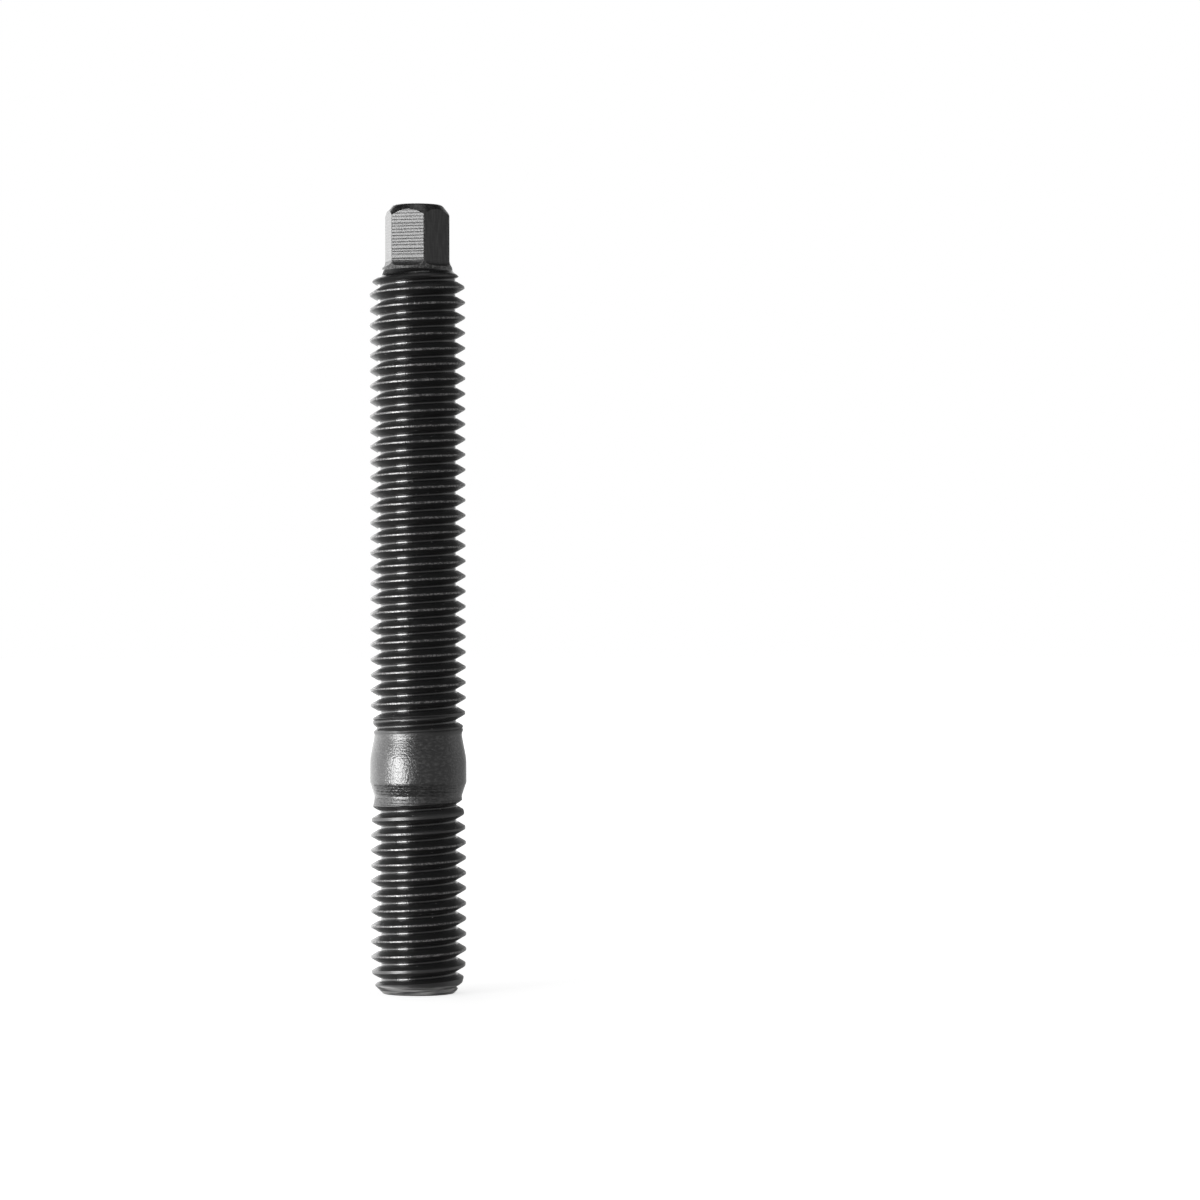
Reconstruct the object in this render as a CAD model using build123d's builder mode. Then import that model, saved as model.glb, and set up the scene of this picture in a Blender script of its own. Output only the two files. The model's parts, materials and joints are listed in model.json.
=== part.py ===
from build123d import *
import os
from math import cos, radians

# Double ended stud, M8 x 65, turned, rolled and milled from one steel bar. Millimetres.
# +Z runs up the stud's axis. The metal end starts at Z = 0, then come the stop collar,
# the long nut end and, at the top, the hexagon drive. Both threads are M8 coarse and are
# carried here by plain lengths of their outside diameter, which stop where they run out.

# Lengths along the axis
metal_end_length = 16.25  # threaded end that goes into the casting
collar_lower_cone = 1.1
collar_land = 1.9
collar_upper_cone = 1.95
nut_end_length = 38.1  # from the collar to the neck under the drive
neck_length = 0.85
drive_length = 4.65

# Threads, over the crests, and what lies under or over the crests on each side
thread_diameter = 7.87
collar_over_crest = 0.045
shank_under_crest = 0.335  # the shank keeps the bar's size from before the threads were rolled
point_under_crest = 1.005

# Where the crests aren't full
point_chamfer = 0.62  # at 45 degrees
point_taper = 2.8
metal_runout = 3.2
nut_runout = 1.7
nut_end_rounding = 1.7
waist_fillet = 1.0

# Hexagon drive
across_flats = 4.85
flat_count = 6
first_flat_turn = 13.8
corner_land = 0.02  # how much of each corner the round blank leaves off
neck_over_drive = 0.16
flat_foot_radius = 0.5  # left by the milling cutter's corner
drive_top_inset = 0.73
drive_top_chamfer = 0.93
drive_top_fillet = 0.2
cutter_overrun = 1.0

same_height = 0.001  # two heights closer than this count as one when edges are picked

# Heights that follow from the lengths
collar_bottom = metal_end_length
land_bottom = collar_bottom + collar_lower_cone
land_top = land_bottom + collar_land
collar_top = land_top + collar_upper_cone
neck_bottom = collar_top + nut_end_length
flat_bottom = neck_bottom + neck_length
overall_length = flat_bottom + drive_length

# Radii that follow from the thread and from the hexagon
crest_radius = thread_diameter / 2
collar_radius = crest_radius + collar_over_crest
shank_radius = crest_radius - shank_under_crest
point_radius = crest_radius - point_under_crest
flat_radius = across_flats / 2
corner_radius = flat_radius / cos(radians(180 / flat_count))
drive_radius = corner_radius - corner_land
neck_radius = drive_radius + neck_over_drive
drive_top_radius = drive_radius - drive_top_inset

with BuildPart() as stud:
    # Turned blank: half its outline, from the point up to the drive, spun round the axis
    crest_end = (crest_radius, neck_bottom - nut_end_rounding)
    neck_foot = (neck_radius, neck_bottom)
    with BuildSketch(Plane.XZ):
        with BuildLine():
            Polyline(
                (0, overall_length),
                (0, 0),
                (point_radius, 0),
                (point_radius + point_chamfer, point_chamfer),
                (crest_radius, point_chamfer + point_taper),
                (crest_radius, collar_bottom - metal_runout),
                (shank_radius, collar_bottom),
                (collar_radius, land_bottom),
                (collar_radius, land_top),
                (shank_radius, collar_top),
                (crest_radius, collar_top + nut_runout),
                crest_end,
            )
            TangentArc(crest_end, neck_foot, tangent=(0, 1))
            Polyline(
                neck_foot,
                (drive_radius, flat_bottom),
                (drive_radius, overall_length - drive_top_chamfer),
                (drive_top_radius, overall_length),
                (0, overall_length),
            )
        make_face()
    revolve(axis=Axis.Z)

    # The waist on each side of the collar and the rim of the drive's end are rounded
    for waist in (collar_bottom, collar_top):
        rings = stud.edges().filter_by(GeomType.CIRCLE)
        corner = rings.filter_by_position(Axis.Z, waist - same_height, waist + same_height)
        fillet(corner, radius=waist_fillet)
    drive_rim = stud.edges().filter_by(GeomType.CIRCLE).sort_by(Axis.Z)[-1]
    fillet(drive_rim, radius=drive_top_fillet)

    # Six flats milled down from the end, each running out in the neck on the cutter's radius
    flat_start = (flat_radius, flat_bottom)
    flat_foot = (flat_radius + flat_foot_radius, flat_bottom - flat_foot_radius)
    for flat in range(flat_count):
        turn = first_flat_turn + flat * 360 / flat_count
        with BuildSketch(Plane.XZ.rotated((0, 0, turn))):
            with BuildLine():
                RadiusArc(flat_start, flat_foot, -flat_foot_radius)
                Polyline(
                    flat_foot,
                    (crest_radius, flat_bottom - flat_foot_radius),
                    (crest_radius, overall_length + cutter_overrun),
                    (flat_radius, overall_length + cutter_overrun),
                    flat_start,
                )
            make_face()
        extrude(amount=drive_radius, both=True, mode=Mode.SUBTRACT)

stud.part.label = "stud"
os.makedirs("parts", exist_ok=True)
export_step(stud.part, "parts/stud.step")
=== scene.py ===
# %% [markdown]
# # A double ended stud, rolled, turned and milled from black steel
#
# This lesson dresses one small machine part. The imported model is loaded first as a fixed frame:
# it says how long the stud is, how thick, and where its collar sits. Everything modelled below
# takes its place from that frame, so the finished stud fits the parts that it is screwed to.

# %% Load the frame
import json
import math
import bpy
import numpy as np
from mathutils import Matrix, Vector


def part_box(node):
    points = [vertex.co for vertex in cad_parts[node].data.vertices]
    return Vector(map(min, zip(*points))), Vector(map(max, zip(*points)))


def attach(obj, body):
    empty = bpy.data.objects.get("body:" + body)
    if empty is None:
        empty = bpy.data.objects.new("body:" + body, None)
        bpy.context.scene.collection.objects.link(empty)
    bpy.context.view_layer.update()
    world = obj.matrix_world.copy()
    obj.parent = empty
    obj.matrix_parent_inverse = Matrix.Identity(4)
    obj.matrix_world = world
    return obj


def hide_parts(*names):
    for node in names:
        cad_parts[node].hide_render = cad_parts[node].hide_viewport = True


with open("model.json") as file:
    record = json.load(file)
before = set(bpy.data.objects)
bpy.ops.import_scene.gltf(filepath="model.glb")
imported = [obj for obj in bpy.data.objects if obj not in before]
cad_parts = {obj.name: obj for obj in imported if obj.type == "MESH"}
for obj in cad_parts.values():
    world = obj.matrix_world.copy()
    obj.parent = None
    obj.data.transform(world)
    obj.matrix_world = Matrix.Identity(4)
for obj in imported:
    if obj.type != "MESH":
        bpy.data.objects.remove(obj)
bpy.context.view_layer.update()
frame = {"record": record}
stud_low, stud_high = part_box("stud")
mounts = {mount["name"]: mount for mount in frame["record"]["mounts"]}
print("stud, in millimetres:", [round(side * 1000, 2) for side in stud_high - stud_low])

# %% [markdown]
# ## Sizes
#
# Blender works in metres, and a machinist in millimetres. One factor turns the one into the
# other, and every size below is written as it would stand on a drawing. The heights that the
# frame knows are read from it: the top of the stud, and the land of the stop collar.

# %% Sizes of the stud
MM = 0.001

pitch = 1.25  # M8 coarse
crest_radius = mounts["nut_end"]["dims"]["r_mm"]
thread_depth = 0.805
root_radius = crest_radius - thread_depth

overall_length = stud_high.z / MM
collar_radius = min(stud_high.x, -stud_low.x, stud_high.y, -stud_low.y) / MM
collar_middle = mounts["stop_collar"]["pos_m"][2] / MM
collar_land = mounts["stop_collar"]["dims"]["length_mm"]
land_bottom = collar_middle - collar_land / 2
land_top = collar_middle + collar_land / 2
lower_cone = 1.1  # height of the collar's cone under the land
upper_cone = 1.95
shank_radius = 3.6  # the bar between a thread and the collar
metal_end_length = land_bottom - lower_cone
collar_top = land_top + upper_cone

drive_length = 4.65
neck_length = 0.85
drive_bottom = overall_length - drive_length
neck_bottom = drive_bottom - neck_length
neck_radius = 2.94
across_flats = 4.85
drive_radius = 2.78
drive_turn = 13.8  # degrees from +X to the middle of the first flat
print("land from", round(land_bottom, 2), "to", round(land_top, 2),
      "and drive from", round(drive_bottom, 2))

# %% [markdown]
# ## Picking things
#
# An operator works on whatever is selected, just as it does by hand. These helpers first
# deselect everything, then select one object, or the corners of a mesh that pass a test.

# %% Helpers for picking
def only(*objects):
    """Selects these objects and nothing else, and makes the first one active."""
    if bpy.context.object and bpy.context.object.mode != "OBJECT":
        bpy.ops.object.mode_set(mode="OBJECT")
    bpy.ops.object.select_all(action="DESELECT")
    for obj in objects:
        obj.select_set(True)
    bpy.context.view_layer.objects.active = objects[0]


def places(obj):
    """The corners of a mesh as an array, in millimetres."""
    flat = np.empty(len(obj.data.vertices) * 3)
    obj.data.vertices.foreach_get("co", flat)
    return flat.reshape(-1, 3) / MM


def pick(obj, corners, kind="VERT"):
    """Goes to edit mode with just these corners selected, and the edges or faces between them."""
    only(obj)
    mesh = obj.data
    bpy.ops.object.mode_set(mode="EDIT")
    bpy.ops.mesh.select_mode(type="VERT")
    bpy.ops.mesh.select_all(action="DESELECT")
    bpy.ops.object.mode_set(mode="OBJECT")
    mesh.vertices.foreach_set("select", np.asarray(corners, dtype=bool))
    bpy.ops.object.mode_set(mode="EDIT")
    bpy.ops.mesh.select_mode(type="VERT")
    if kind != "VERT":
        bpy.ops.mesh.select_mode(type=kind)


def at_height(obj, height, slack=0.002):
    """Which corners of a mesh lie at one height."""
    return np.abs(places(obj)[:, 2] - height) < slack


def count(obj):
    """The number of triangles in a mesh."""
    return sum(len(face.vertices) - 2 for face in obj.data.polygons)


# %% [markdown]
# ## Rolling a thread
#
# On the real stud the threads are rolled: hard dies squeeze V-shaped grooves into a smooth bar,
# and the metal rises between them as crests. A thread could be faked with a bumpy texture, but
# the sawtooth outline is what makes a stud look like a stud, so it is real geometry here.
#
# One pitch of the outline is drawn as a line, by extruding a single point. The bottom of the
# groove is a narrow flat, and a bevel rounds its two corners.

# %% Draw one pitch
columns = 96  # corners round the stud
half_angle = math.radians(30)  # a metric thread has 60 degrees between its flanks
root_flat = 0.16  # width of the bottom of the groove, before its corners are rounded
root_rounding = 0.045
over_crest = 0.065  # the line goes past the crest, and is brought back to it below
flank_steps = (3.23, 3.45, 3.70, 3.86, 3.925, 3.975)  # radii of the corners along a flank


def flank_offset(radius):
    """How far from the middle of the groove the flank has this radius."""
    return root_flat / 2 + (radius - root_radius) * math.tan(half_angle)


def draw_pitch(name, root_height):
    """One pitch of the thread's outline, as a line of edges from crest to crest."""
    outer = crest_radius + over_crest
    side = [(radius, flank_offset(radius)) for radius in (*flank_steps, outer)]
    line = [(outer, -pitch / 2)]
    line += [(radius, -offset) for radius, offset in reversed(side)]
    line += [(root_radius, -root_flat / 2), (root_radius, root_flat / 2)]
    line += side
    line += [(outer, pitch / 2)]

    bpy.ops.mesh.primitive_plane_add(size=MM, location=(0, 0, 0))
    outline = bpy.context.object
    outline.name = outline.data.name = name
    bpy.ops.object.mode_set(mode="EDIT")
    bpy.ops.mesh.merge(type="CENTER")
    bpy.ops.transform.translate(value=(line[0][0] * MM, 0, (line[0][1] + root_height) * MM))
    for here, there in zip(line, line[1:]):
        move = ((there[0] - here[0]) * MM, 0, (there[1] - here[1]) * MM)
        bpy.ops.mesh.extrude_region_move(TRANSFORM_OT_translate={"value": move})
    bpy.ops.object.mode_set(mode="OBJECT")

    pick(outline, places(outline)[:, 0] < root_radius + 0.01)
    bpy.ops.mesh.bevel(offset=root_rounding * MM, segments=2, affect="VERTICES")
    bpy.ops.object.mode_set(mode="OBJECT")
    return outline


print("a groove is", round(2 * flank_offset(crest_radius), 3), "mm wide between its crests")

# %% [markdown]
# The Screw modifier sweeps the line round the axis and lifts it by one pitch each turn, and
# merging the doubles joins the turns. The sweep is longer than the thread, and each end is cut
# off square. A cut leaves slivers where it crosses the rows of faces. They are merged into its
# rim, the rim is flattened, and its extra corners are dissolved. It then has one corner for each
# column, as the rings have that it will be joined to.

# %% Sweep it and trim its ends
sliver = 0.008  # corners closer to a cut than this belong to its rim
off_column = 0.13  # a corner this share of a column away from all columns is an extra one


def square_rim(thread, height):
    """Flattens the rim that a cut left, and leaves one corner for each column."""
    pick(thread, at_height(thread, height, sliver))
    bpy.ops.mesh.remove_doubles(threshold=2.4 * sliver * MM)
    bpy.ops.transform.resize(value=(1, 1, 0), center_override=(0, 0, height * MM))
    bpy.ops.object.mode_set(mode="OBJECT")
    pick(thread, at_height(thread, height))
    bpy.ops.mesh.remove_doubles(threshold=4 * sliver * MM)
    bpy.ops.object.mode_set(mode="OBJECT")
    at = places(thread)
    column = np.arctan2(at[:, 1], at[:, 0]) / math.tau * columns
    pick(thread, at_height(thread, height) & (np.abs(column - np.round(column)) > off_column))
    bpy.ops.mesh.dissolve_verts()
    bpy.ops.object.mode_set(mode="OBJECT")


def roll_thread(name, root_height, bottom, top):
    """A threaded tube between two heights. root_height is where a groove crosses the +X side."""
    first_root = root_height - math.ceil((root_height - bottom) / pitch + 0.5) * pitch
    turns = math.ceil((top - first_root) / pitch + 0.5)
    thread = draw_pitch(name, first_root)
    sweep = thread.modifiers.new("thread", "SCREW")
    sweep.angle = math.tau
    sweep.screw_offset = pitch * MM
    sweep.iterations = turns
    sweep.steps = sweep.render_steps = columns
    sweep.use_merge_vertices = False
    only(thread)
    bpy.ops.object.modifier_apply(modifier=sweep.name)

    bpy.ops.object.mode_set(mode="EDIT")
    bpy.ops.mesh.select_all(action="SELECT")
    bpy.ops.mesh.remove_doubles(threshold=0.001 * MM)
    for height, side in ((bottom, "clear_inner"), (top, "clear_outer")):
        bpy.ops.mesh.select_all(action="SELECT")
        cut = {"plane_co": (0, 0, height * MM), "plane_no": (0, 0, 1), side: True}
        bpy.ops.mesh.bisect(threshold=0.0001 * MM, **cut)
    bpy.ops.object.mode_set(mode="OBJECT")

    for height in (bottom, top):
        square_rim(thread, height)
    print(name, "has", turns, "turns,", count(thread), "triangles and rims of",
          at_height(thread, bottom).sum(), "and", at_height(thread, top).sum())
    return thread


metal_root = 15.49  # the last full groove of the metal end, on the +X side
nut_root = 22.41  # the first full groove of the nut end, on the +X side
metal_top = 16.56  # where the threaded tubes are cut off
nut_bottom = 20.93
nut_top = neck_bottom + 0.1
metal_end = roll_thread("metal_end", metal_root, 0.0, metal_top)
nut_end = roll_thread("nut_end", nut_root, nut_bottom, nut_top)

# %% [markdown]
# ## Where the thread stops
#
# A rolled thread is only as high as the bar lets it be. Near the ends of each thread the bar is
# thinner, so the crests stay low there, and at the run-outs the dies lift out of the steel, so
# the groove gets shallower and dies away. The first thing needed is the outline of the bar
# itself: a function for each end that gives its radius at any height.

# %% The bar's outline
point_heights = (0, 0.62, 1.1, 1.72, 2.4, 3.2)  # the chamfer, and crests that fill up above it
point_radii = (2.93, 3.55, 3.67, 3.84, 3.87, crest_radius)
waist_start = 11.65  # from here up the crests of the metal end sink towards the waist
waist_curve = 0.0158
waist_foot = 15.3  # and from here a little faster
waist_slope = 0.05
seam_start = (-0.2, 0.0, 0.22, 0.58, 1.2, 1.45, 1.85, 2.3)  # above the collar, along the helix
seam_radii = (3.56, 3.60, 3.665, 3.70, 3.71, 3.80, 3.89, crest_radius)
seam_depth = 0.08
seam_width = 0.055
nut_rounding = 1.7  # how far below the neck the crests start to round off
step_radius = 3.45  # of the step in which the last crest falls away to the neck


def soft_min(a, b, blend):
    """The smaller of two values, with the corner between them rounded."""
    overlap = np.maximum(blend - np.abs(a - b), 0) / blend
    return np.minimum(a, b) - overlap**2 * blend / 4


def metal_end_bar(z, turn, crest_height):
    """The bar's radius from the point to the collar, called the way the other end's is."""
    point = np.interp(z, point_heights, point_radii)
    waist = crest_radius - waist_curve * np.maximum(z - waist_start, 0) ** 2
    waist = waist - waist_slope * np.maximum(z - waist_foot, 0)
    slope = (collar_radius - shank_radius) / lower_cone
    cone = shank_radius + (z - metal_end_length) * slope
    return -soft_min(-np.minimum(point, waist), -cone, 0.12)


def nut_end_bar(z, turn, crest_height):
    """The bar's radius from the collar to the neck. crest_height is that of the nearest crest."""
    slope = (collar_radius - shank_radius) / upper_cone
    cone = shank_radius - (z - collar_top) * slope
    # The first crest isn't full yet. It rises along the helix, and a seam is left on its top
    crest = np.interp(crest_height, np.array(seam_start) + collar_top, seam_radii)
    aside = np.abs(z - crest_height)
    seam = np.interp(crest, (3.66, 3.70, 3.80, 3.90), (0.0, seam_depth, seam_depth, 0.0))
    seam = seam * np.exp(-((aside / seam_width) ** 2))
    lip = crest - seam - 1.0 * np.maximum(aside - 0.1, 0) ** 2
    lower = -soft_min(-np.maximum(lip, shank_radius), -cone, 0.06)
    drop = crest_radius - neck_radius
    rounding = (drop**2 + nut_rounding**2) / (2 * drop)
    beyond = np.clip(z - (neck_bottom - nut_rounding), 0, rounding)
    upper = crest_radius - rounding + np.sqrt(rounding**2 - beyond**2)
    # The last crest falls away to the neck in a step, which climbs a little with the thread
    step_height = neck_bottom - 0.42 + 0.16 * np.cos(turn * math.tau)
    step = step_radius - 2.0 * (z - step_height)
    neck = neck_radius + 0.02 - 0.4 * (z - neck_bottom)
    upper = -soft_min(-soft_min(upper, step, 0.08), -neck, 0.12)
    return np.minimum(lower, upper)


print("the point's radius:", round(float(metal_end_bar(0.0, 0.0, 0.0)), 3),
      "and the neck's:", round(float(nut_end_bar(neck_bottom, 0.0, neck_bottom)), 3))

# %% [markdown]
# No single operator lifts a groove out of a bar. Each corner of the threaded tubes is moved
# instead: out by as much as the dies have lifted there, and then in to the bar's outline where
# it would stand outside it. Beside the dying groove the squeezed steel stands up a little.

# %% Bring the threads to the bar
squeeze_height = 0.06
squeeze_width = 0.12


def run_out(thread, bar, root_height, lift_per_turn, away):
    """Fades the groove past root_height, up (away = 1) or down (-1), and trims the crests."""
    at = places(thread)
    turn = np.arctan2(at[:, 1], at[:, 0]) / math.tau
    radius = np.hypot(at[:, 0], at[:, 1])
    helix = (at[:, 2] - root_height) / pitch - turn
    groove = np.round(helix)
    offset = (helix - groove) * pitch  # from the middle of the groove
    beyond = np.maximum((groove + turn) * away, 0)  # turns past the last full groove
    lifted = radius + lift_per_turn * beyond

    crest_height = root_height + (np.floor(helix) + 0.5 + turn) * pitch
    outline = bar(at[:, 2], turn, crest_height)
    shallow = root_radius + lift_per_turn * beyond
    lip = np.maximum(outline - shallow, 0) * math.tan(half_angle) + 0.2
    squeezed = np.exp(-(((offset * away - lip) / squeeze_width) ** 2)) * np.clip(beyond * 4, 0, 1)
    outline = outline + squeeze_height * squeezed * np.clip((outline - shallow) / 0.2, 0, 1)

    trimmed = soft_min(lifted, outline, 0.05)
    at[:, :2] *= (trimmed / radius)[:, None]
    thread.data.vertices.foreach_set("co", (at * MM).ravel())
    thread.data.update()
    print(thread.name, "radius from", round(trimmed.min(), 3), "to", round(trimmed.max(), 3))


run_out(metal_end, metal_end_bar, metal_root, 1.0, 1)
run_out(nut_end, nut_end_bar, nut_root, 0.55, -1)

# %% [markdown]
# ## The stop collar
#
# The collar is turned, not rolled: a short cone, a plain land and a longer cone. It stops the
# stud when its metal end is screwed home. The rim of the metal end is selected and extruded
# upwards ring by ring, each ring scaled to the radius of the collar at its height, and the two
# corners of the land get a bevel, small below and wide above. The rings close to a corner keep
# the smooth shading of one surface from spilling over onto the next.

# %% Grow the collar from the metal end
def rim_radius(obj, height):
    """The radius of the ring of corners at one height."""
    ring = places(obj)[at_height(obj, height)]
    return float(np.hypot(ring[:, 0], ring[:, 1]).mean())


def grow(obj, start_height, rings):
    """Extrudes the open rim at start_height through rings of (height, radius)."""
    height, radius = start_height, rim_radius(obj, start_height)
    pick(obj, at_height(obj, start_height), "EDGE")
    for next_height, next_radius in rings:
        rise = (0, 0, (next_height - height) * MM)
        bpy.ops.mesh.extrude_region_move(TRANSFORM_OT_translate={"value": rise})
        scale = next_radius / radius
        bpy.ops.transform.resize(value=(scale, scale, 1), center_override=(0, 0, next_height * MM))
        height, radius = next_height, next_radius
    bpy.ops.mesh.select_all(action="SELECT")
    bpy.ops.mesh.normals_make_consistent(inside=False)
    bpy.ops.object.mode_set(mode="OBJECT")


collar_end = nut_bottom - 0.05
lower_rings = [(z, float(metal_end_bar(z, 0.0, z))) for z in (16.68, 16.82, 17.0, 17.2)]
upper_rings = [(z, float(nut_end_bar(z, 0.0, z))) for z in (20.0, 20.3, 20.6, collar_end)]
grow(metal_end, metal_top, [
    *lower_rings,
    (land_bottom, collar_radius),
    (land_bottom + 0.15, collar_radius),
    (land_top - 0.45, collar_radius),
    (land_top, collar_radius),
    *upper_rings,
])
for height, rounding, steps in ((land_bottom, 0.04, 2), (land_top, 0.40, 5)):
    pick(metal_end, at_height(metal_end, height), "EDGE")
    bpy.ops.mesh.bevel(offset=rounding * MM, segments=steps, affect="EDGES")
    bpy.ops.object.mode_set(mode="OBJECT")
print("with the collar:", count(metal_end), "triangles")

# %% [markdown]
# ## The hexagon drive
#
# The end is turned round, chamfered, and then six flats are milled down it. The drive is made
# the same way. Its blank starts as a ring, which is extruded up through the turned outline. The
# rim of its end is rounded with a bevel, and both ends are closed with a face each, because only
# a closed blank can be milled.

# %% Turn the blank of the drive
drive_start = nut_top + 0.05
start_radius = 2.905
chamfer_height = 0.93
top_radius = 2.05
top_rounding = 0.20
inner_ring = top_radius * 0.5  # keeps the rounding's smooth shading off the flat end
bpy.ops.mesh.primitive_circle_add(
    vertices=columns, radius=start_radius * MM, location=(0, 0, drive_start * MM))
drive = bpy.context.object
drive.name = drive.data.name = "drive"
only(drive)
bpy.ops.object.transform_apply(location=True, rotation=False, scale=False)

chamfer_start = overall_length - chamfer_height
grow(drive, drive_start, [
    (neck_bottom + 0.30, 2.88),
    (neck_bottom + 0.55, 2.825),
    (drive_bottom - 0.02, drive_radius),
    (chamfer_start, drive_radius),
    (overall_length, top_radius),
    (overall_length, inner_ring),
])
on_rim = np.hypot(*places(drive)[:, :2].T) > top_radius - 0.01
pick(drive, at_height(drive, overall_length) & on_rim, "EDGE")
bpy.ops.mesh.bevel(offset=top_rounding * MM, segments=4, affect="EDGES")
bpy.ops.object.mode_set(mode="OBJECT")
for height, ring_radius in ((drive_start, start_radius), (overall_length, inner_ring)):
    inside = np.hypot(*places(drive)[:, :2].T) < ring_radius + 0.01
    pick(drive, at_height(drive, height) & inside, "EDGE")
    bpy.ops.mesh.edge_face_add()
    bpy.ops.object.mode_set(mode="OBJECT")
print("drive blank has", count(drive), "triangles")

# %% [markdown]
# The milling cutter has a rounded corner, which leaves a hollow foot under each flat. It is a
# block with one rounded edge, and it is subtracted six times with a Boolean modifier. Where the
# flats run through the chamfer, they cut the arcs that every hexagon head shows, with no
# further work. The face that closed the bottom of the blank has done its work and is deleted.

# %% Mill the six flats
flat_count = 6
foot_radius = 0.5
cutter_reach = 2.0


def milling_cutter(turn):
    """A block that leaves one flat, with its lower inner edge rounded."""
    tall = drive_length + foot_radius + cutter_reach
    inner = across_flats / 2
    middle = (inner + cutter_reach / 2, 0, drive_bottom - foot_radius + tall / 2)
    bpy.ops.mesh.primitive_cube_add(size=1, location=[side * MM for side in middle])
    block = bpy.context.object
    block.scale = (cutter_reach * MM, drive_radius * 2 * MM, tall * MM)
    only(block)
    bpy.ops.object.transform_apply(location=True, rotation=False, scale=True)
    at = places(block)
    pick(block, (at[:, 0] < inner + 0.01) & (at[:, 2] < drive_bottom), "EDGE")
    bpy.ops.mesh.bevel(offset=foot_radius * MM, segments=8, affect="EDGES")
    bpy.ops.object.mode_set(mode="OBJECT")
    block.rotation_euler.z = math.radians(turn)
    only(block)
    bpy.ops.object.transform_apply(location=False, rotation=True, scale=False)
    return block


for flat in range(flat_count):
    cutter = milling_cutter(drive_turn + flat * 360 / flat_count)
    milling = drive.modifiers.new("flat", "BOOLEAN")
    milling.operation = "DIFFERENCE"
    milling.solver = "EXACT"
    milling.object = cutter
    only(drive)
    bpy.ops.object.modifier_apply(modifier=milling.name)
    bpy.data.objects.remove(cutter)
pick(drive, at_height(drive, drive_start), "FACE")
bpy.ops.mesh.delete(type="ONLY_FACE")
bpy.ops.object.mode_set(mode="OBJECT")
print("milled drive:", count(drive), "triangles")

# %% [markdown]
# No real edge is perfectly sharp, and a thin facet along it catches the light. Sharp edges are
# found by the angle between their faces, and each gets a bevel one step wide.

# %% Break its sharp edges
edge_break = 0.03
pick(drive, np.ones(len(drive.data.vertices), dtype=bool))
bpy.ops.mesh.remove_doubles(threshold=0.004 * MM)
bpy.ops.mesh.select_all(action="DESELECT")
bpy.ops.mesh.select_mode(type="EDGE")
bpy.ops.mesh.edges_select_sharp(sharpness=math.radians(20))
bpy.ops.mesh.bevel(offset=edge_break * MM, segments=1, affect="EDGES", clamp_overlap=True)
bpy.ops.object.mode_set(mode="OBJECT")
print("with broken edges:", count(drive), "triangles, reaching out to",
      round(float(np.hypot(*places(drive)[:, :2].T).max()), 3))

# %% [markdown]
# ## One bar of steel
#
# The stretches become one mesh, because the real stud is one bar. They get their smooth shading
# first, each with an angle of its own. They are then joined, and each pair of open rims is
# bridged with a narrow band of faces. The flat point is filled last, and the normals are turned
# outwards.

# %% Join the stretches
for stretch, smooth_under in ((metal_end, 40), (nut_end, 40), (drive, 12)):
    only(stretch)
    bpy.ops.object.shade_smooth_by_angle(angle=math.radians(smooth_under))
only(metal_end, nut_end, drive)
bpy.ops.object.join()
steel = metal_end
steel.name = steel.data.name = "double_ended_stud"
for lower, upper in ((collar_end, nut_bottom), (nut_top, drive_start)):
    pick(steel, at_height(steel, lower) | at_height(steel, upper), "EDGE")
    bpy.ops.mesh.bridge_edge_loops()
    bpy.ops.object.mode_set(mode="OBJECT")
pick(steel, at_height(steel, 0.0), "EDGE")
bpy.ops.mesh.edge_face_add()
bpy.ops.mesh.select_all(action="SELECT")
bpy.ops.mesh.remove_doubles(threshold=0.0015 * MM)
bpy.ops.mesh.normals_make_consistent(inside=False)
bpy.ops.object.mode_set(mode="OBJECT")
print("the stud has", count(steel), "triangles")

# %% [markdown]
# ## Building materials from nodes
#
# A material is a small network of nodes. A few helpers keep the cells below short: they feed a
# socket, add a node and fill its sockets, add a Math node, make an empty node group with named
# sockets, and place a group. A group is built once, and then works as a node in each material.

# %% Helpers for nodes
def feed(tree, value, socket):
    """Gives a socket a plain value, or wires another node's output to it."""
    if isinstance(value, bpy.types.NodeSocket):
        tree.links.new(value, socket)
    else:
        socket.default_value = value


def put(tree, kind, inputs=None, **settings):
    """Adds a node, sets it, and feeds its inputs by name or by number."""
    node = tree.nodes.new(kind)
    for name, value in settings.items():
        setattr(node, name, value)
    for name, value in (inputs or {}).items():
        feed(tree, value, node.inputs[name])
    return node


def sum_of(tree, operation, *values):
    """Adds a Math node and hands back its output."""
    return put(tree, "ShaderNodeMath", dict(enumerate(values)), operation=operation).outputs[0]


def new_group(name, inputs, outputs):
    """Makes an empty group, and hands back the group, its inner inputs and its output node."""
    group = bpy.data.node_groups.new(name, "ShaderNodeTree")
    for label, kind in inputs.items():
        group.interface.new_socket(name=label, in_out="INPUT", socket_type="NodeSocket" + kind)
    for label, kind in outputs.items():
        group.interface.new_socket(name=label, in_out="OUTPUT", socket_type="NodeSocket" + kind)
    inner = group.nodes.new("NodeGroupInput").outputs
    return group, inner, group.nodes.new("NodeGroupOutput").inputs


def place_group(tree, group, **inputs):
    """Places a group in a tree, feeds its inputs and hands back its outputs."""
    node = tree.nodes.new("ShaderNodeGroup")
    node.node_tree = group
    for name, value in inputs.items():
        feed(tree, value, node.inputs[name.replace("_", " ")])
    return node.outputs


# %% [markdown]
# ## Places on the stud
#
# Every mark on a turned or rolled part follows its axis, so the materials need two numbers: how
# high a spot is and how far from the axis it is. Object coordinates give both. They are turned
# to millimetres here, so that all the sizes below read as on a drawing.

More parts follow.
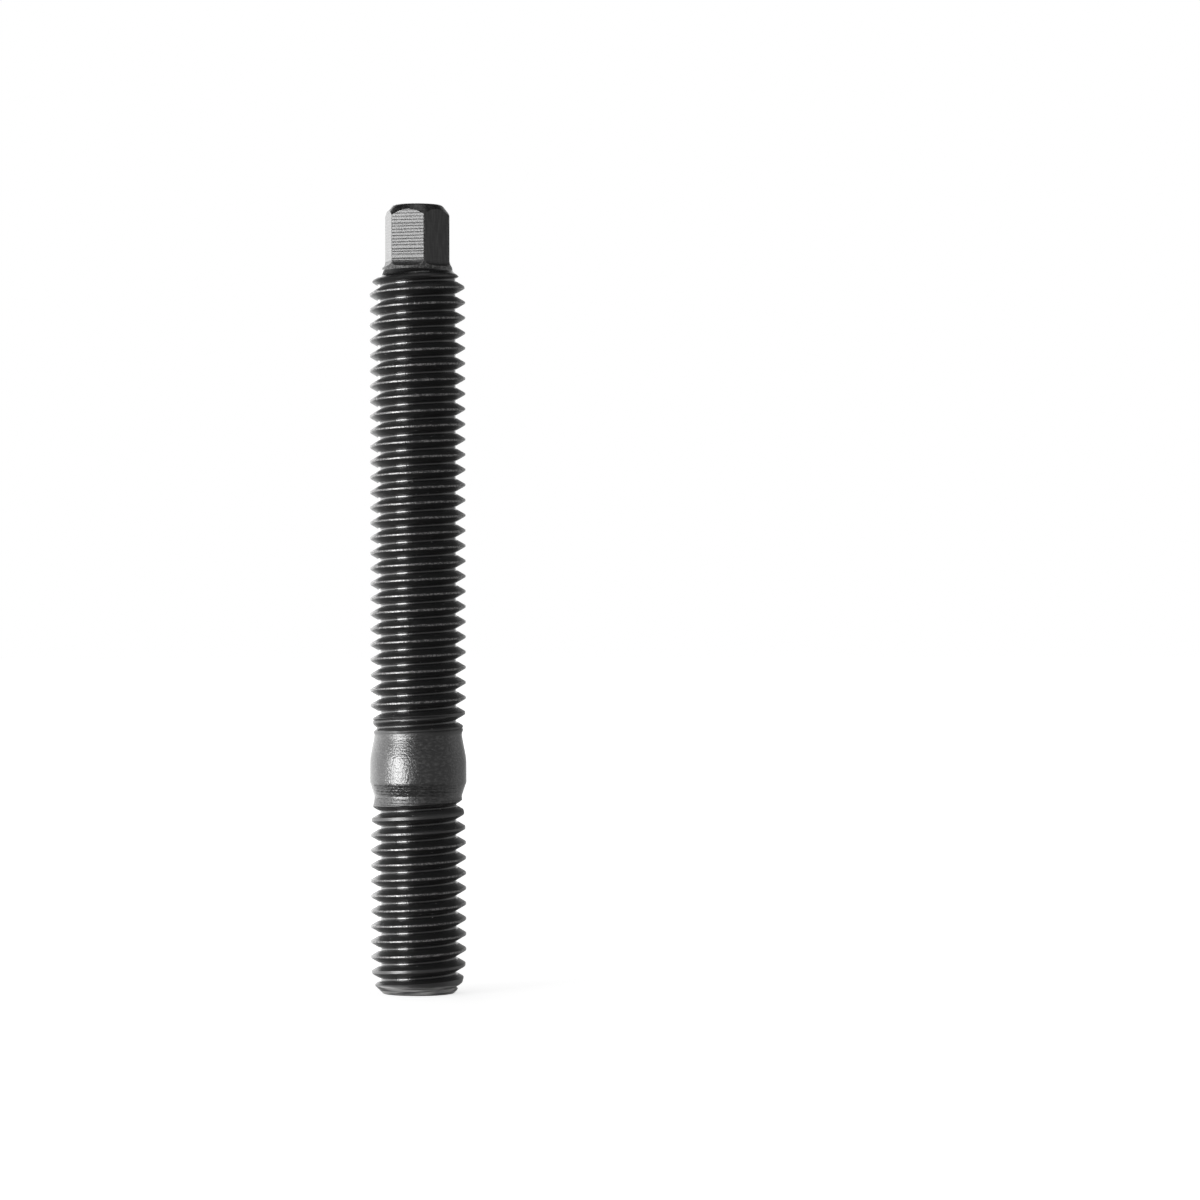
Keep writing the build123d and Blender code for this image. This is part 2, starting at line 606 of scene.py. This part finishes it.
# %% Group: places on the stud
stud_places, inner, outer = new_group(
    "stud_places", {"Position": "Vector"}, {"Place": "Vector", "Radius": "Float", "Height": "Float"})
millimetres = put(stud_places, "ShaderNodeVectorMath", {0: inner["Position"], "Scale": 1000.0},
                  operation="SCALE").outputs[0]
flat_place = put(stud_places, "ShaderNodeVectorMath", {0: millimetres, 1: (1, 1, 0)},
                 operation="MULTIPLY").outputs[0]
from_axis = put(stud_places, "ShaderNodeVectorMath", {0: flat_place},
                operation="LENGTH").outputs["Value"]
sides = put(stud_places, "ShaderNodeSeparateXYZ", {0: millimetres}).outputs
feed(stud_places, millimetres, outer["Place"])
feed(stud_places, from_axis, outer["Radius"])
feed(stud_places, sides["Z"], outer["Height"])
print("stud_places has", len(stud_places.nodes), "nodes")

# %% [markdown]
# A band is a soft-edged window: 1 between two values and 0 outside them. It says where one kind
# of mark ends and the next begins.

# %% Group: band
band, inner, outer = new_group(
    "band", {"Value": "Float", "Low": "Float", "High": "Float", "Edge": "Float"}, {"Mask": "Float"})
steps = []
for end in ("Low", "High"):
    start = sum_of(band, "SUBTRACT", inner[end], inner["Edge"])
    stop = sum_of(band, "ADD", inner[end], inner["Edge"])
    steps.append(put(band, "ShaderNodeMapRange",
                     {"Value": inner["Value"], "From Min": start, "From Max": stop},
                     interpolation_type="SMOOTHSTEP").outputs[0])
feed(band, sum_of(band, "SUBTRACT", *steps), outer["Mask"])
print("band has", len(band.nodes), "nodes")

# %% [markdown]
# ## Tool marks
#
# Cutting tools and rolling dies leave fine lines that run round the bar. One noise texture
# makes them: it changes fast across the lines and slowly round the bar. What counts as across
# is left open. It is the height on a cone or on a milled flat. On the flanks of a thread it is
# the distance from the axis, so the lines climb with the thread.

# %% Group: tool marks
tool_marks, inner, outer = new_group(
    "tool_marks", {"Place": "Vector", "Across": "Float", "Lines per mm": "Float", "Broken": "Float"},
    {"Marks": "Float"})
slow = put(tool_marks, "ShaderNodeVectorMath", {0: inner["Place"], "Scale": inner["Broken"]},
           operation="SCALE").outputs[0]
fast = put(tool_marks, "ShaderNodeCombineXYZ",
           {"Z": sum_of(tool_marks, "MULTIPLY", inner["Across"], inner["Lines per mm"])}).outputs[0]
where = put(tool_marks, "ShaderNodeVectorMath", {0: slow, 1: fast}, operation="ADD").outputs[0]
lines = put(tool_marks, "ShaderNodeTexNoise", {"Vector": where, "Scale": 1.0, "Detail": 0.5})
feed(tool_marks, lines.outputs[0], outer["Marks"])
print("tool_marks has", len(tool_marks.nodes), "nodes")

# %% [markdown]
# ## Bright specks
#
# Here and there the black layer is nicked, and a speck of bare steel shows. Scattered cells
# give the specks: each cell of a Voronoi texture has a random colour, and only the few with a
# high enough value get a small round speck in their middle.

# %% Group: bright specks
bright_specks, inner, outer = new_group(
    "bright_specks", {"Place": "Vector", "Cells per mm": "Float", "Share": "Float", "Size": "Float"},
    {"Specks": "Float"})
cells = put(bright_specks, "ShaderNodeTexVoronoi",
            {"Vector": inner["Place"], "Scale": inner["Cells per mm"]})
near = put(bright_specks, "ShaderNodeMapRange",
           {"Value": cells.outputs["Distance"], "From Min": inner["Size"],
            "From Max": sum_of(bright_specks, "MULTIPLY", inner["Size"], 0.4)}).outputs[0]
luck = put(bright_specks, "ShaderNodeSeparateXYZ", {0: cells.outputs["Color"]}).outputs["X"]
chosen = sum_of(bright_specks, "LESS_THAN", luck, inner["Share"])
feed(bright_specks, sum_of(bright_specks, "MULTIPLY", near, chosen), outer["Specks"])
print("bright_specks has", len(bright_specks.nodes), "nodes")

# %% [markdown]
# ## Worn edges
#
# The black layer is thin, and it is rubbed thin wherever the stud touches its neighbours in the
# box: on the crests of the threads and on the corners. The mask rises where a value, such as the
# distance from the axis, nears its limit. Noise breaks it up, so that the wear isn't even.

# %% Group: worn edges
worn_edges, inner, outer = new_group(
    "worn_edges", {"Place": "Vector", "Value": "Float", "Limit": "Float", "Depth": "Float"},
    {"Wear": "Float"})
patches = put(worn_edges, "ShaderNodeTexNoise",
              {"Vector": inner["Place"], "Scale": 7.0, "Detail": 1.0}).outputs[0]
rise_start = sum_of(worn_edges, "SUBTRACT", inner["Limit"], inner["Depth"])
rise = put(worn_edges, "ShaderNodeMapRange",
           {"Value": inner["Value"], "From Min": rise_start, "From Max": inner["Limit"]},
           interpolation_type="SMOOTHSTEP").outputs[0]
broken = put(worn_edges, "ShaderNodeMapRange",
             {"Value": patches, "From Min": 0.47, "From Max": 0.60}).outputs[0]
feed(worn_edges, sum_of(worn_edges, "MULTIPLY", rise, broken), outer["Wear"])
print("worn_edges has", len(worn_edges.nodes), "nodes")

# %% [markdown]
# ## Black steel
#
# The stud is chemically blackened and oiled. The layer is thin and nearly black, with a satin
# gloss stronger than that of paint, which a high index of refraction gives. All the relief is
# measured in thousandths of a millimetre and goes through one Bump node.

# %% Values that both finishes share
black_layer = (0.006, 0.006, 0.0063, 1)
bare_steel = (0.52, 0.515, 0.51, 1)
satin = 0.30
rolled_index = 2.2
milled_index = 1.9  # the milled flats are a little duller
micrometre = 1e-6


def start_finish(name, index):
    """A material with its shader set to the black layer, and the places on the stud."""
    material = bpy.data.materials.new(name)
    material.use_nodes = True
    tree = material.node_tree
    shader = tree.nodes["Principled BSDF"]
    shader.inputs["IOR"].default_value = index
    position = put(tree, "ShaderNodeTexCoord").outputs["Object"]
    at = place_group(tree, stud_places, Position=position)
    return material, tree, shader, at


def finish_up(tree, shader, pale, bare, relief, roughness):
    """Wires the pale and bare shares, the relief in micrometres and the roughness to the shader."""
    colour = put(tree, "ShaderNodeMix", data_type="RGBA")
    feed(tree, pale, colour.inputs[0])
    colour.inputs[6].default_value = black_layer
    colour.inputs[7].default_value = bare_steel
    feed(tree, colour.outputs[2], shader.inputs["Base Color"])
    feed(tree, bare, shader.inputs["Metallic"])
    feed(tree, roughness, shader.inputs["Roughness"])
    bump = put(tree, "ShaderNodeBump", {"Height": relief, "Distance": micrometre, "Strength": 1.0})
    feed(tree, bump.outputs[0], shader.inputs["Normal"])


# %% [markdown]
# ## The rolled and turned finish
#
# The rolled and turned lengths share one finish, whose marks change from place to place. Masks
# come first, one for each kind of place: the collar with its land and its cones, the chamfered
# point, the waist below the collar, and what is left, which the dies rolled. On the rolled
# lengths the distance from the axis tells crests, flanks and grooves apart.

# %% Places of the rolled and turned finish
turned_steel, tree, shader, at = start_finish("turned_steel", rolled_index)
place, radius, height = at["Place"], at["Radius"], at["Height"]

collar = place_group(
    tree, band, Value=height, Low=metal_end_length - 0.85, High=collar_top + 0.1, Edge=0.12)["Mask"]
land = place_group(tree, band, Value=height, Low=land_bottom, High=land_top + 0.1, Edge=0.04)["Mask"]
cones = sum_of(tree, "SUBTRACT", collar, land)
point = place_group(tree, band, Value=height, Low=-1.0, High=0.75, Edge=0.08)["Mask"]
turned = sum_of(tree, "MAXIMUM", cones, point)
rolled = sum_of(tree, "SUBTRACT", 1.0, sum_of(tree, "MAXIMUM", collar, point))
below_cone = place_group(tree, band, Value=height, Low=metal_end_length - 1.5,
                         High=metal_end_length - 0.1, Edge=0.08)["Mask"]
crests = place_group(
    tree, band, Value=radius, Low=crest_radius - 0.07, High=crest_radius + 1.0, Edge=0.02)["Mask"]
crests = sum_of(tree, "MULTIPLY", crests, rolled)
flank = place_group(
    tree, band, Value=radius, Low=root_radius + 0.14, High=crest_radius - 0.09, Edge=0.04)["Mask"]
flank = sum_of(tree, "MULTIPLY", flank, rolled)
groove = place_group(
    tree, band, Value=radius, Low=0.0, High=root_radius + 0.12, Edge=0.06)["Mask"]
groove = sum_of(tree, "MULTIPLY", groove, rolled)
print("collar's finish from", round(metal_end_length - 0.85, 2), "to", round(collar_top + 0.1, 2))

# %% [markdown]
# The relief is a sum. Fine lines run along the flanks of the threads, and turned lines run round
# the cones of the collar and round the chamfered point. They are deepest under the collar. The
# land has slanted scratches, and a fine grain lies over everything, coarsest on the crests,
# where the dies left the steel torn.

# %% Relief of the rolled and turned finish
flank_lines_deep = 16.0
lower_lines_deep = 32.0  # turned lines at the foot of the land
upper_lines_deep = 9.0  # turned lines above it
under_collar_deep = 55.0  # what the lines under the collar have on top of that
scratches_deep = 18.0
grain_deep, collar_grain_deep, crest_grain_deep = 12.0, 14.0, 22.0

rolled_lines = place_group(
    tree, tool_marks, Place=place, Across=radius, Lines_per_mm=8.0, Broken=0.5)["Marks"]
turned_lines = place_group(
    tree, tool_marks, Place=place, Across=height, Lines_per_mm=13.0, Broken=0.15)["Marks"]
slanted = put(tree, "ShaderNodeMapping", {"Vector": place, "Rotation": (0.0, 0.6, 0.5),
                                          "Scale": (3.0, 3.0, 7.0)}).outputs[0]
scratches = put(tree, "ShaderNodeTexNoise",
                {"Vector": slanted, "Scale": 1.0, "Detail": 1.0}).outputs[0]
grain = put(tree, "ShaderNodeTexNoise", {"Vector": place, "Scale": 7.5, "Detail": 1.0}).outputs[0]

rolled_depth = sum_of(tree, "MULTIPLY", rolled, flank_lines_deep)
turned_depth = put(tree, "ShaderNodeMapRange",
                   {"Value": height, "From Min": land_bottom, "From Max": land_top,
                    "To Min": lower_lines_deep, "To Max": upper_lines_deep}).outputs[0]
turned_depth = sum_of(tree, "MULTIPLY_ADD", below_cone, under_collar_deep, turned_depth)
turned_depth = sum_of(tree, "MULTIPLY", turned, turned_depth)
scratch_depth = sum_of(tree, "MULTIPLY", collar, scratches_deep)
grain_depth = sum_of(tree, "MULTIPLY_ADD", crests, crest_grain_deep, grain_deep)
grain_depth = sum_of(tree, "MULTIPLY_ADD", collar, collar_grain_deep, grain_depth)

relief = sum_of(tree, "MULTIPLY", rolled_lines, rolled_depth)
relief = sum_of(tree, "MULTIPLY_ADD", turned_lines, turned_depth, relief)
relief = sum_of(tree, "MULTIPLY_ADD", scratches, scratch_depth, relief)
relief = sum_of(tree, "MULTIPLY_ADD", grain, grain_depth, relief)
print("relief: four kinds of mark, up to", lower_lines_deep + under_collar_deep, "thousandths deep")

# %% [markdown]
# Next comes what isn't black. The crests are rubbed bare in patches, and nicks scatter a few
# bright specks over the threads. The turned lines on the point are real, but their paler colour
# is a painted reflection of the white floor below. Along some scratches on the collar the layer
# is thin, which makes them a shade paler.

# %% Bare and pale spots
bare_on_crests = 0.55
bare_in_specks = 0.6

wear = place_group(
    tree, worn_edges, Place=place, Value=radius, Limit=crest_radius, Depth=0.05)["Wear"]
wear = sum_of(tree, "MULTIPLY", wear, rolled)
specks = place_group(
    tree, bright_specks, Place=place, Cells_per_mm=3.2, Share=0.05, Size=0.28)["Specks"]
specks = sum_of(tree, "MULTIPLY", specks, rolled)
bare = sum_of(tree, "MULTIPLY_ADD", wear, bare_on_crests,
              sum_of(tree, "MULTIPLY", specks, bare_in_specks))
# Painted reflection: a pale colour along the point's turned lines, standing in for the white floor
# below
painted_lathe_glints = put(tree, "ShaderNodeMapRange",
                   {"Value": rolled_lines, "From Min": 0.38, "From Max": 0.62,
                    "To Min": 0.05, "To Max": 0.85}).outputs[0]
painted_lathe_glints = sum_of(tree, "MULTIPLY", painted_lathe_glints, point)
thin_layer = put(tree, "ShaderNodeMapRange",
                 {"Value": scratches, "From Min": 0.45, "From Max": 0.7, "To Max": 0.10}).outputs[0]
pale = sum_of(tree, "ADD", bare, sum_of(tree, "MULTIPLY_ADD", thin_layer, collar, painted_lathe_glints))
print("crests are bare by up to", bare_on_crests, "and specks by", bare_in_specks)

# %% [markdown]
# Last comes the gloss, which the roughness sets. The dies polished the bottoms of the grooves.
# The flanks, the turned point and the waist below the collar are duller than the rest. Each
# place adds its share to one satin value.

# %% Gloss of the rolled and turned finish
roughness = sum_of(tree, "MULTIPLY_ADD", point, 0.2, satin)
roughness = sum_of(tree, "MULTIPLY_ADD", flank, 0.13, roughness)
roughness = sum_of(tree, "MULTIPLY_ADD", below_cone, 0.12, roughness)
roughness = sum_of(tree, "MULTIPLY_ADD", groove, -0.15, roughness)
finish_up(tree, shader, pale, bare, relief, roughness)
print("turned_steel has", len(tree.nodes), "nodes")

# %% [markdown]
# ## The milled finish
#
# The milled drive has a finish of its own. A cutter that is fed along the axis leaves a line
# for every tooth, so the flats are ribbed across. A sine of the height makes the ribs, because
# the feed is even, and slow noise shifts them and changes their depth a little. The neck is
# coarser, the corners are rubbed brighter, and faint streaks run along the flats.

# %% Finish of the milled drive
rib_spacing = 0.26
rib_shift = 6.0  # how far the noise shifts a rib, as an angle of the sine
milled_steel, tree, shader, at = start_finish("milled_steel", milled_index)
place, radius, height = at["Place"], at["Radius"], at["Height"]
flats = place_group(
    tree, band, Value=height, Low=drive_bottom, High=chamfer_start + 0.5, Edge=0.05)["Mask"]
neck = place_group(
    tree, band, Value=height, Low=neck_bottom - 1.0, High=drive_bottom, Edge=0.1)["Mask"]
uneven = place_group(
    tree, tool_marks, Place=place, Across=height, Lines_per_mm=2.5, Broken=0.03)["Marks"]
rib_angle = sum_of(tree, "MULTIPLY_ADD", height, math.tau / rib_spacing,
                   sum_of(tree, "MULTIPLY", uneven, rib_shift))
ribs = sum_of(tree, "SINE", rib_angle)
rib_depth = sum_of(tree, "MULTIPLY_ADD", uneven, 8.0, 1.0)
grain = put(tree, "ShaderNodeTexNoise", {"Vector": place, "Scale": 7.0, "Detail": 1.0}).outputs[0]
relief = sum_of(tree, "MULTIPLY", ribs, sum_of(tree, "MULTIPLY", flats, rib_depth))
relief = sum_of(tree, "MULTIPLY_ADD", grain, sum_of(tree, "MULTIPLY_ADD", neck, 20.0, 5.0), relief)
wear = place_group(
    tree, worn_edges, Place=place, Value=radius, Limit=drive_radius, Depth=0.06)["Wear"]
bare = sum_of(tree, "MULTIPLY", wear, 0.25)
drawn = put(tree, "ShaderNodeMapping", {"Vector": place, "Scale": (7.0, 7.0, 0.8)}).outputs[0]
streaks = put(tree, "ShaderNodeTexNoise", {"Vector": drawn, "Scale": 1.0, "Detail": 1.0}).outputs[0]
thin_layer = put(tree, "ShaderNodeMapRange",
                 {"Value": streaks, "From Min": 0.4, "From Max": 0.7, "To Max": 0.07}).outputs[0]
pale = sum_of(tree, "ADD", bare, thin_layer)
finish_up(tree, shader, pale, bare, relief, sum_of(tree, "MULTIPLY_ADD", neck, 0.15, satin))
print("milled_steel has", len(tree.nodes), "nodes")

# %% [markdown]
# The stud wears both finishes. It gets a material slot for each, and the faces above the neck
# are selected by their height and given the second slot.

# %% Put the finishes on
steel.data.materials.clear()
steel.data.materials.append(turned_steel)
steel.data.materials.append(milled_steel)
pick(steel, places(steel)[:, 2] > drive_start - 0.002, "FACE")
steel.active_material_index = 1
bpy.ops.object.material_slot_assign()
bpy.ops.object.mode_set(mode="OBJECT")
print("faces of the drive:", sum(face.material_index == 1 for face in steel.data.polygons))

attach(steel, "root")
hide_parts("stud")

# %% [markdown]
# ## Floor
#
# The stud stands on a plain white floor. The floor takes its light and its shadow from the
# lamps, and for the camera alone it also glows a little, more and more with distance, so that
# it meets the white room behind it without a line. It is left out of reflections, so that the
# stud mirrors the room and the softboxes right down to their lower ends.

# %% Floor
floor_white = 0.7
far_glow, near_glow = 0.85, 0.70
bpy.ops.mesh.primitive_plane_add(size=4.0, location=(0, 0, 0))
floor = bpy.context.object
floor.name = "floor"
floor.visible_glossy = False
floor_paint = bpy.data.materials.new("floor_paint")
floor_paint.use_nodes = True
tree = floor_paint.node_tree
paint = tree.nodes["Principled BSDF"]
paint.inputs["Base Color"].default_value = (floor_white, floor_white, floor_white, 1)
paint.inputs["Roughness"].default_value = 1.0
paint.inputs["Specular IOR Level"].default_value = 0.0
paint.inputs["Emission Color"].default_value = (1, 1, 1, 1)
position = put(tree, "ShaderNodeTexCoord").outputs["Object"]
nearness = put(tree, "ShaderNodeTexGradient", {"Vector": position},
               gradient_type="SPHERICAL").outputs[1]
glow = put(tree, "ShaderNodeMapRange",
           {"Value": nearness, "From Min": 0.4, "From Max": 0.95,
            "To Min": far_glow, "To Max": near_glow}).outputs[0]
rays = put(tree, "ShaderNodeLightPath").outputs
feed(tree, sum_of(tree, "MULTIPLY", glow, rays["Is Camera Ray"]), paint.inputs["Emission Strength"])
floor.data.materials.append(floor_paint)
print("floor:", floor.dimensions.x, "m across")

# %% [markdown]
# ## The room
#
# Dark, glossy steel shows hardly any colour of its own: what is seen in it is the room. The
# room is white to the eye and dim in the reflections, but straight behind the stud the white
# backdrop is reflected too, which draws a pale line down both sides of the stud. The room is
# darker high up and low down, most of all behind the stud, because that is what the sloping
# flanks of the threads mirror. Only straight up and straight down it is paler again, so that the
# flat ends of the stud don't turn black.

# %% World
room_light = 0.33
reflected_room = 0.20  # in front of the stud
reflected_sides = 0.42
high_and_low = 0.12  # share of it that is left high up and low down
zenith_light = 0.55
world = bpy.data.worlds.new("studio")
bpy.context.scene.world = world
world.use_nodes = True
tree = world.node_tree
tree.nodes.clear()
direction = put(tree, "ShaderNodeTexCoord").outputs["Generated"]
directions = put(tree, "ShaderNodeSeparateXYZ", {0: direction}).outputs
beside = put(tree, "ShaderNodeMapRange",
             {"Value": directions["Y"], "From Min": -0.3, "From Max": 0.4,
              "To Min": reflected_room, "To Max": reflected_sides},
             interpolation_type="SMOOTHSTEP").outputs[0]
backdrop = put(tree, "ShaderNodeMapRange",
               {"Value": directions["Y"], "From Min": 0.84, "From Max": 0.97},
               interpolation_type="SMOOTHSTEP").outputs[0]
steepness = sum_of(tree, "ABSOLUTE", directions["Z"])
overhead = put(tree, "ShaderNodeMapRange",
               {"Value": steepness, "From Min": 0.45, "From Max": 0.8,
                "To Min": 1.0, "To Max": high_and_low},
               interpolation_type="SMOOTHSTEP").outputs[0]
zenith = put(tree, "ShaderNodeMapRange",
             {"Value": steepness, "From Min": 0.93, "From Max": 0.99, "To Max": zenith_light},
             interpolation_type="SMOOTHSTEP").outputs[0]
behind = put(tree, "ShaderNodeMapRange",
             {"Value": directions["Y"], "From Min": 0.2, "From Max": 0.5, "To Max": 0.85},
             interpolation_type="SMOOTHSTEP").outputs[0]
sloping = put(tree, "ShaderNodeMapRange",
              {"Value": steepness, "From Min": 0.35, "From Max": 0.6},
              interpolation_type="SMOOTHSTEP").outputs[0]
ceiling = sum_of(tree, "SUBTRACT", 1.0, sum_of(tree, "MULTIPLY", behind, sloping))
around = sum_of(tree, "MULTIPLY", sum_of(tree, "MULTIPLY", beside, overhead), ceiling)
dim_room = sum_of(tree, "MAXIMUM", around, zenith)
reflected = sum_of(tree, "MAXIMUM", dim_room, backdrop)
rays = put(tree, "ShaderNodeLightPath").outputs
seen = sum_of(tree, "MAXIMUM", rays["Is Camera Ray"], rays["Is Transmission Ray"])
glossy = sum_of(tree, "MULTIPLY", reflected, rays["Is Glossy Ray"])
plain = sum_of(tree, "MULTIPLY", sum_of(tree, "SUBTRACT", 1.0, rays["Is Glossy Ray"]), room_light)
strength = sum_of(tree, "MAXIMUM", seen, sum_of(tree, "ADD", glossy, plain))
room = put(tree, "ShaderNodeBackground", {"Color": (1, 1, 1, 1), "Strength": strength})
put(tree, "ShaderNodeOutputWorld", {"Surface": room.outputs[0]})
print("the room has", len(tree.nodes), "nodes")

# %% [markdown]
# ## Lamps
#
# Six softboxes, each an area lamp. Their places follow from mirrors: a spot on the stud that
# faces 24 degrees left of the camera mirrors what stands 48 degrees left of it. The main softbox
# stands there. Its reflection is the bright stripe down the stud and the square glint on the
# collar, and its height sets how far up the sloping cone the glint still shows. A dim, wide one
# behind it softens the stripe's edges, as the cloth of a real softbox does. The one on the left
# and the one behind on the left light the left edge of every crest, and two strips far behind,
# one high and one low, light the slopes of the thread's outline.

# %% Softboxes
middle_height = overall_length / 2 * MM


def softbox(name, azimuth, distance, width, height, radiance, lift=0.0):
    """A soft lamp facing the stud. azimuth is in degrees, right of the camera's side."""
    lamp = bpy.data.lights.new(name, "AREA")
    lamp.shape = "RECTANGLE"
    lamp.size = width
    lamp.size_y = height
    lamp.energy = radiance * math.pi * width * height
    box = bpy.data.objects.new(name, lamp)
    bpy.context.scene.collection.objects.link(box)
    turn = math.radians(azimuth)
    box.location = (math.sin(turn) * distance, -math.cos(turn) * distance, middle_height + lift)
    box.rotation_euler = (math.radians(90), 0, turn)
    box.visible_camera = False
    print(name, "at", [round(side, 2) for side in box.location])


softbox("main_softbox", -48, 0.6, 0.34, 0.34, 8.2)
softbox("main_softbox_rim", -47, 0.7, 0.90, 0.36, 0.9)
softbox("left_softbox", -97, 0.8, 0.72, 0.80, 1.15)
softbox("back_left_softbox", -146, 0.8, 0.80, 0.52, 1.65)
softbox("back_upper_strip", -164, 0.8, 0.45, 0.28, 2.0, lift=0.32)
softbox("back_lower_strip", -164, 0.8, 0.45, 0.28, 0.8, lift=-0.32)

# %% [markdown]
# ## Camera
#
# The camera stands level with the middle of the stud, more than five of its lengths away, so its
# lower end is seen a little from above and its upper end a little from below. It looks
# straight ahead from a place a little to the right, so the stud stands left of the middle of the
# view. The Standard view shows each colour as it is written.

# %% Camera
camera_right = 14.985
camera_back = 353
camera_height = 32.3
camera_roll = 0.105  # degrees
camera_data = bpy.data.cameras.new("camera")
camera_data.lens = 128.7
camera_data.sensor_width = 36
camera = bpy.data.objects.new("camera", camera_data)
bpy.context.scene.collection.objects.link(camera)
camera.location = (camera_right * MM, -camera_back * MM, camera_height * MM)
camera.rotation_euler = (math.radians(90), math.radians(camera_roll), 0)
bpy.context.scene.camera = camera
bpy.context.scene.view_settings.view_transform = "Standard"
print("camera", camera_back, "mm back, with a", camera_data.lens, "mm lens")
